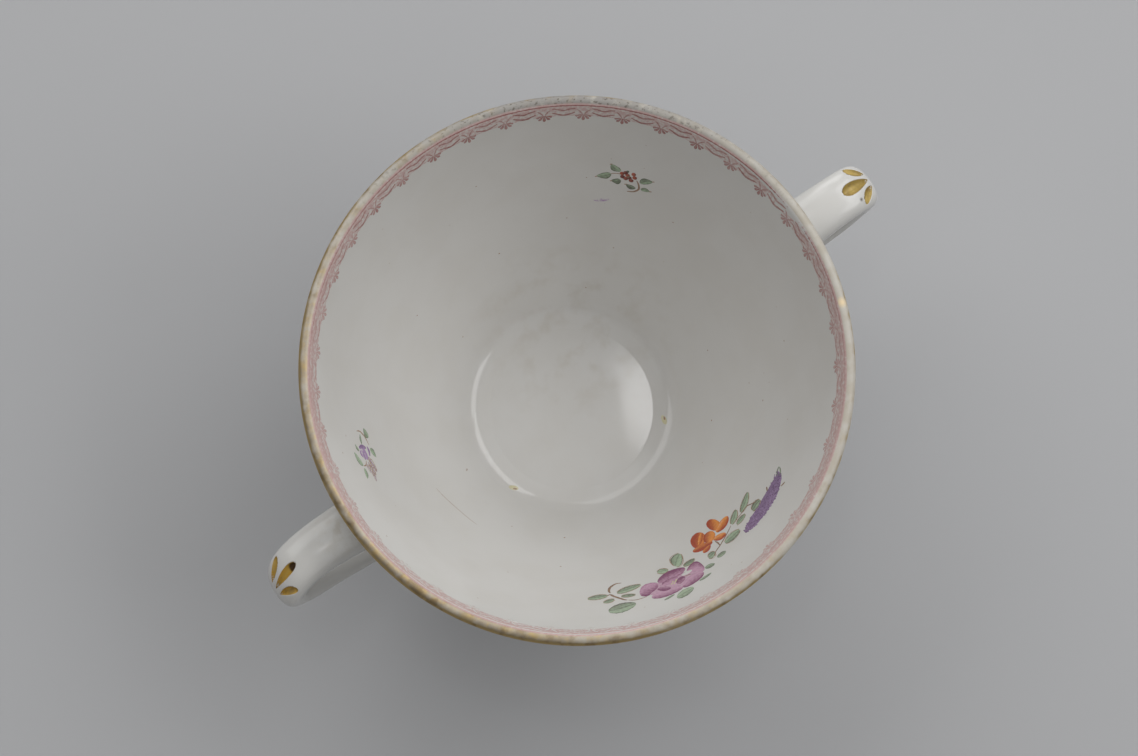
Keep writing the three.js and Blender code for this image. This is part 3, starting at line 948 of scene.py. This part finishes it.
ROSE_PETALS = [
    # points, half width, tone
    ([(-12.0, 18.2), (-10.3, 19.3), (-8.0, 20.0)], (-0.32, -3.17), 0.38),
    ([(-10.9, 14.9), (-8.6, 14.4), (-5.3, 13.6)], (-0.35, -2.13), 0.3),
    ([(-5.6, 13.7), (-3.1, 14.8), (-1.0, 14.8)], (-0.23, -2.56), 0.33),
    ([(-2.9, 19.7), (-1.1, 19.0), (-0.4, 16.0)], (0.67, 2.44), 0.34),
    ([(-8.0, 21.1), (-5.6, 21.5), (-2.6, 21.2)], (0.32, 2.38), 0.52),
    ([(-7.9, 18.8), (-6.3, 19.4), (-4.6, 19.2)], (0.22, 1.73), 0.4),
    ([(-9.0, 18.0), (-7.9, 16.6), (-7.0, 15.8)], (-0.34, -1.22), 0.57),
    ([(-5.8, 16.6), (-4.8, 17.2), (-3.8, 17.6)], (0.13, 1.62), 0.62),
]
STAMENS = [(-6.0, 18.2), (-6.0, 17.2), (-5.6, 17.8), (-6.4, 17.5), (-5.3, 18.3)]
ORANGE_PETALS = [
    # points, half width, tone
    ([(1.4, 25.4), (2.6, 28.0), (3.8, 30.2)], (-1.05, 1.95), 0.45),
    ([(5.8, 26.2), (6.4, 28.4), (7.0, 30.4)], (-0.95, 2.0), 0.32),
    ([(5.7, 25.4), (7.5, 25.8), (9.2, 26.5)], (0.2, -1.6), 0.2),
    ([(2.0, 26.0), (3.0, 27.7), (4.0, 29.4)], (0.4, -0.75), 0.24),
    ([(0.4, 25.5), (2.0, 24.6), (4.1, 23.6)], (-0.16, -1.35), 0.55),
    ([(1.5, 22.4), (2.4, 22.7), (3.4, 23.2)], (0.08, -1.08), 0.43),
    ([(4.4, 23.9), (5.5, 23.0), (6.7, 22.3)], (-0.2, -1.3), 0.2),
    ([(3.4, 24.3), (4.3, 26.1), (5.2, 27.6)], (-0.92, 1.4), 0.26),
]
SPIKE_AXIS = [(8.7, 16.5), (10.9, 16.5), (13.7, 16.7), (16.6, 16.8), (19.2, 17.4), (20.7, 18.2)]
SPIKE_HALVES = [0.5, 2.2, 2.7, 2.7, 1.9, 0.7]
SPIKE_TOUCHES = 320


def paint_violet_spike(spot):
    """A wash under many short touches, darker along the edge nearer the lip, with a leafy tip."""
    count = 40
    axis = curve_through(SPIKE_AXIS, count)
    halves = np.interp(np.linspace(0, 5, count), range(6), SPIKE_HALVES)
    violets.stroke(spot, axis, 2 * halves, 0.56, 0, 9)
    for _ in range(SPIKE_TOUCHES):
        place = rng.integers(1, count - 1)
        across = rng.uniform(-1, 1)
        centre = axis[place] + (0, 0.93 * across * halves[place])
        tone = 0.62 + 0.22 * max(-across, 0) * place / count + rng.uniform(-0.14, 0.16)
        lean = rng.uniform(45, 135)
        length = rng.uniform(0.6, 1.1)
        width = rng.uniform(0.2, 0.36)
        violets.dab(spot, centre, length, width, lean, tone, 1 + rng.integers(3))
    leaves.line(spot, [(21.5, 19.0), (20.6, 18.9), (19.9, 17.9)], 0.5, 0.5, 4)
    leaves.line(spot, [(21.5, 18.7), (20.9, 17.7), (20.1, 17.1)], 0.4, 0.4, 4)


def paint_bouquet(spot):
    """A rose, an orange flower and a violet spike among leaves."""
    for points, half, tone in BOUQUET_LEAVES:
        leaves.blade(spot, points, half, tone, 0, *LEAF_SWELL)
        if points[0][1] > OUTLINED_DEPTH:
            stems.edging(spot, points, half, LEAF_OUTLINE, 0.25, 1, *LEAF_SWELL)
    for points, width in BOUQUET_STEMS:
        stems.line(spot, points, width, 0.6, 1, 31)
    rose_washes.blade(spot, [(-11.6, 18.0), (-6.2, 17.6), (-0.7, 16.8)], (0.3, 3.4), 0.36)
    roses.petals(spot, ROSE_PETALS)
    rose_washes.blade(spot, [(-4.1, 19.1), (-3.1, 18.9), (-2.0, 18.7)], (-0.09, -0.75), -0.5, 4)
    for centre in STAMENS:
        stamens.dab(spot, centre, 0.7, 0.35, 60, 0.4, 6)
    oranges.petals(spot, ORANGE_PETALS)
    stems.dab(spot, (2.3, 17.9), 1.2, 0.7, 30, 0.1, 2)
    paint_violet_spike(spot)


BERRY_LEAVES = [
    # base, tip, width, tone
    ((-2.2, 20.3), (-4.5, 18.7), 1.8, 0.45),
    ((-2.6, 22.0), (-4.4, 21.7), 1.2, 0.4),
    ((-1.8, 22.2), (0.1, 21.7), 1.4, 0.6),
    ((1.0, 20.9), (2.7, 21.6), 1.8, 0.55),
    ((1.4, 18.5), (3.3, 16.8), 1.8, 0.4),
    ((2.9, 19.5), (5.4, 20.9), 2.0, 0.4),
]
BERRY_STEM = [(-1.6, 19.8), (-2.1, 20.8), (-2.3, 22.1), (-1.5, 23.2), (-0.3, 23.6)]
BERRIES = [
    (-0.9, 18.4), (-1.2, 19.3), (-0.7, 20.3), (0.1, 19.1), (0.3, 20.1),
    (0.9, 19.8), (1.1, 18.9), (-0.3, 19.7), (0.5, 18.5),
]


def paint_berry_sprig(spot):
    for base, tip, width, tone in BERRY_LEAVES:
        leaves.leaf(spot, base, tip, width, tone)
        stems.dab(spot, tip, 0.6, 0.3, 30, 0.3, 1)
    stems.line(spot, BERRY_STEM, 0.42, 0.5, 1)
    stems.line(spot, [(0.8, 19.2), (2.0, 19.2), (3.1, 19.6)], 0.26, 0.45)
    for layer, centre in enumerate(BERRIES):
        berries.dab(spot, centre, 1.1, 0.95, 90, 0.4 + rng.uniform(-0.1, 0.35), 1 + layer % 3)
    leaves.dab(spot, (0.2, 18.0), 0.7, 0.6, 90, 0.8, 1)
    stems.dab(spot, (-0.1, 19.5), 0.7, 0.6, 90, 0.7, 4)
    violets.dab(spot, (3.7, 27.2), 3.2, 1.4, 16, 0.0)


SPRIG_LEAVES = [
    # base, tip, width, tone
    ((-2.7, 21.6), (-4.4, 20.3), 1.7, 0.35),
    ((-0.8, 20.9), (0.9, 22.3), 1.4, 0.3),
    ((2.4, 15.9), (-0.2, 13.9), 1.6, 0.2),
    ((2.7, 15.9), (4.8, 15.1), 1.3, 0.25),
    ((-0.3, 16.3), (-1.6, 15.3), 0.8, 0.35),
    ((-1.5, 18.2), (-3.4, 18.5), 0.8, 0.4),
]
SPRIG_PETALS = [
    # points, half width, tone, layer
    ([(-1.0, 18.0), (0.2, 17.9), (1.3, 18.3)], (0.1, 1.4), 0.12, 0),
    ([(-0.9, 16.5), (-1.1, 18.0), (-0.9, 19.5)], (-0.45, 0.0), 0.5, 1),
    ([(-0.5, 16.7), (0.3, 16.7), (0.9, 17.2)], (0.0, -0.35), 0.3, 1),
    ([(-1.2, 20.0), (-0.3, 20.2), (0.7, 19.9)], (0.0, 0.4), 0.45, 1),
    ([(-0.3, 17.9), (0.5, 17.7), (1.3, 17.6)], (0.0, 0.35), 0.4, 2),
]
SPRIG_BUDS = [
    # points, width
    ([(0.7, 19.0), (2.0, 19.8), (3.6, 20.3)], 1.0),
    ([(2.0, 17.2), (2.9, 17.8), (3.7, 17.8)], 0.7),
    ([(3.3, 18.2), (4.3, 18.6), (5.3, 18.4)], 0.7),
    ([(1.6, 18.3), (2.8, 19.0), (4.2, 19.4)], 0.8),
]


def paint_violet_sprig(spot):
    for leaf in SPRIG_LEAVES:
        leaves.leaf(spot, *leaf)
    stems.line(spot, [(-3.9, 17.3), (-3.8, 18.8), (-2.7, 20.3), (-1.3, 21.0)], 0.34, 0.3)
    stems.line(spot, [(2.4, 15.9), (2.2, 17.0), (1.4, 17.8)], 0.3, 0.35)
    for petal in SPRIG_PETALS:
        violets.blade(spot, *petal)
    for points, width in SPRIG_BUDS:
        stems.blade(spot, points, (-width * 0.3, width * 0.8), 0.14)
        violets.line(spot, points, width * 0.4, 0.4, 1)


# Border of swags and palmettes under the lip

BORDER_DARKEST = 50
FIRST_PALMETTE = 27.4
PALMETTE_LEANS = (-64, -32, 0, 32, 64)
PALMETTE_HEART = np.array([0, 2.3])
PALMETTE_WIDTHS = 0.64 * np.clip(np.sin(math.pi * np.linspace(0, 1, 9) ** 1.5), 0, 1) ** 0.7
PALMETTE_CURL = [(1.2, 0.75), (0.75, 1.2), (0.45, 1.7), (0.1, 2.4)]
SWAG_END = 1.35
SWAG_LINES = [
    # depths at its ends, quarters and middle, width, added tone, taper
    ((0.5, 0.7, 1.15), 0.6, 0.0, 0.3),
    ((1.6, 2.2, 2.6), 0.62, 0.05, 0.5),
]


def border_tone(angle):
    """Strong on one side of the cup, rubbed on the other."""
    return 0.35 + 0.31 * np.cos(np.radians(angle - BORDER_DARKEST))


def wash_tone(angle):
    """A film of colour, a little thicker where the drawing is rubbed."""
    return 0.205 - 0.03 * np.cos(np.radians(angle - BORDER_DARKEST))


def line_tone(angle):
    return border_tone(angle) * 1.3 - 0.08


def paint_ring(first, last, tone, change=0.0):
    """A band right round the cup, between two distances below the lip's straight edge."""
    places = np.linspace(0, 360, BORDER_UNITS * 8 + 1)
    middle = (first + last) / 2
    sideways = np.radians(places) * INSIDE.at(middle)[0]
    spine = np.stack([sideways, np.full(places.shape, middle)], -1)
    border.stroke((INSIDE, 0), spine, np.full(places.shape, last - first), tone(places) + change, 0)


def paint_swag(spot, tone, reach):
    for (end, quarter, middle), width, darker, taper in SWAG_LINES:
        depths = (end, quarter, middle, quarter, end)
        points = list(zip(np.linspace(-reach, reach, 5), depths))
        border.line(spot, points, width, tone + darker, 2, 13, taper)


def paint_palmette(spot, tone):
    for hand in (-1, 1):
        curl = [(hand * sideways, depth) for sideways, depth in PALMETTE_CURL]
        border.line(spot, curl, 0.45, tone - 0.1, 2, 9)
    for lean in PALMETTE_LEANS:
        way = leaning(lean)
        tip = PALMETTE_HEART + way * (2.0 - 0.5 * abs(lean) / 64)
        middle = PALMETTE_HEART + way * 1.2
        spine = curve_through([(0, 2.2), middle, tip], len(PALMETTE_WIDTHS))
        border.stroke(spot, spine, PALMETTE_WIDTHS, tone, 3)


def paint_border():
    pitch = 360 / BORDER_UNITS
    reach = math.radians(pitch) * RIM_RADIUS / 2 - SWAG_END
    paint_ring(-1.0, 2.3, wash_tone)
    paint_ring(0.6, 3.0, wash_tone, -0.06)
    paint_ring(-1.0, -0.2, wash_tone, 0.05)
    paint_ring(-0.5, -0.05, line_tone)
    for place in range(BORDER_UNITS):
        angle = FIRST_PALMETTE + place * pitch
        tone = border_tone(angle) + rng.uniform(-0.05, 0.05)
        paint_swag((INSIDE, angle + pitch / 2), tone, reach)
        paint_palmette((INSIDE, angle), tone)


# Small flaws of firing and use

WELL_SPOTS = [
    # angle, radius
    (-42, 16.85),
    (-160.6, 18.0),
]
SCRATCH_ANGLE = 190
SCRATCH = [(-5.7, 37.4), (-0.4, 38.7), (4.2, 39.1)]
SPECK_COUNT = 60


def paint_flaws():
    for angle, radius in WELL_SPOTS:
        spot = (INSIDE, angle)
        depth = INSIDE.distance_at(radius)
        stamens.dab(spot, (0, depth), 2.0, 1.0, 30, 0.3)
        stems.dab(spot, (0.3, depth), 0.9, 0.5, 30, 0.2, 1)
    stems.line((INSIDE, SCRATCH_ANGLE), SCRATCH, 0.14, 0.22)
    for _ in range(SPECK_COUNT):
        face = INSIDE if rng.random() < 0.7 else OUTSIDE
        size = rng.uniform(0.15, 0.38)
        centre = (0, rng.uniform(6, 50))
        spot = (face, rng.uniform(0, 360))
        stems.dab(spot, centre, size, size * 0.8, 0, rng.uniform(0.05, 0.5))


SPRAYS = [
    # face, angles of its bouquet, berry sprig and violet sprig
    (OUTSIDE, 270, 322, 222),
    (OUTSIDE, 90, 142, 42),
    (INSIDE, 270, 41, 164),
]
for face, bouquet, berry_sprig, violet_sprig in SPRAYS:
    paint_bouquet((face, bouquet))
    paint_berry_sprig((face, berry_sprig))
    paint_violet_sprig((face, violet_sprig))
paint_border()
paint_flaws()
for paint in paints:
    paint.finish()


# Camera, floor and light

CAMERA_AZIMUTH = -131.61
CAMERA_ELEVATION = 81.01
CAMERA_ROLL = 6.84
CAMERA_DISTANCE = 468.1
CAMERA_TARGET = (-2.34, -0.88, CUP_HEIGHT)
CAMERA_LENS = 90.0
CAMERA_SENSOR = 36.0
LIGHT_DISTANCE = 1.3
WORLD_GREY = 0.2
FLOOR_SIZE = 4.0
FLOOR_GREYS = (0.405, 0.408, 0.417), (0.42, 0.423, 0.432)


def direction(azimuth, elevation):
    flat, up = heading(elevation)
    return Vector((*flat * heading(azimuth), up))


def add_camera():
    back = direction(CAMERA_AZIMUTH, CAMERA_ELEVATION)
    right = Vector((0, 0, 1)).cross(back).normalized()
    up = back.cross(right)
    roll = math.radians(CAMERA_ROLL)
    turned_right = math.cos(roll) * right + math.sin(roll) * up
    turned_up = math.cos(roll) * up - math.sin(roll) * right
    place = (Vector(CAMERA_TARGET) + back * CAMERA_DISTANCE) * MM
    data = bpy.data.cameras.new("camera")
    data.lens = CAMERA_LENS
    data.sensor_width = CAMERA_SENSOR
    data.sensor_fit = "HORIZONTAL"
    data.clip_start = 0.01
    camera = bpy.data.objects.new("camera", data)
    axes = zip(turned_right, turned_up, back)
    camera.matrix_world = Matrix([(*row, at) for row, at in zip(axes, place)] + [(0, 0, 0, 1)])
    bpy.context.collection.objects.link(camera)
    bpy.context.scene.camera = camera


def add_light(name, azimuth, elevation, sizes, power, turn=0):
    data = bpy.data.lights.new(name, "AREA")
    data.shape = "RECTANGLE"
    data.size, data.size_y = sizes
    data.energy = power
    light = bpy.data.objects.new(name, data)
    out = direction(azimuth, elevation)
    light.location = out * LIGHT_DISTANCE
    turned = out.to_track_quat("Z", "Y") @ Quaternion((0, 0, 1), math.radians(turn))
    light.rotation_euler = turned.to_euler()
    bpy.context.collection.objects.link(light)


def add_floor():
    look = Look("floor", 0.6)
    look.shade("Base Color", look.blend(look.noise(60, 3), *FLOOR_GREYS))
    bpy.ops.mesh.primitive_plane_add(size=FLOOR_SIZE)
    floor = bpy.context.object
    floor.name = "floor"
    floor.data.materials.append(look.material)


add_camera()
add_floor()
add_light("overhead", 300, 72, (2.0, 2.0), 5.5)
add_light("glint", 86, 81.1, (0.1, 0.14), 0.26, -20)
add_light("key", 10, 45, (0.7, 0.7), 4.1)
add_light("near", 325, 45, (0.6, 0.6), 2.6)
add_light("side", 97, 46, (1.2, 0.8), 4.7)
add_light("low", 60, 22, (0.6, 0.6), 3.1)
world = bpy.data.worlds.new("world")
world.use_nodes = True
world.node_tree.nodes["Background"].inputs["Color"].default_value = (*[WORLD_GREY] * 3, 1)
bpy.context.scene.world = world
bpy.context.scene.view_settings.view_transform = "Standard"
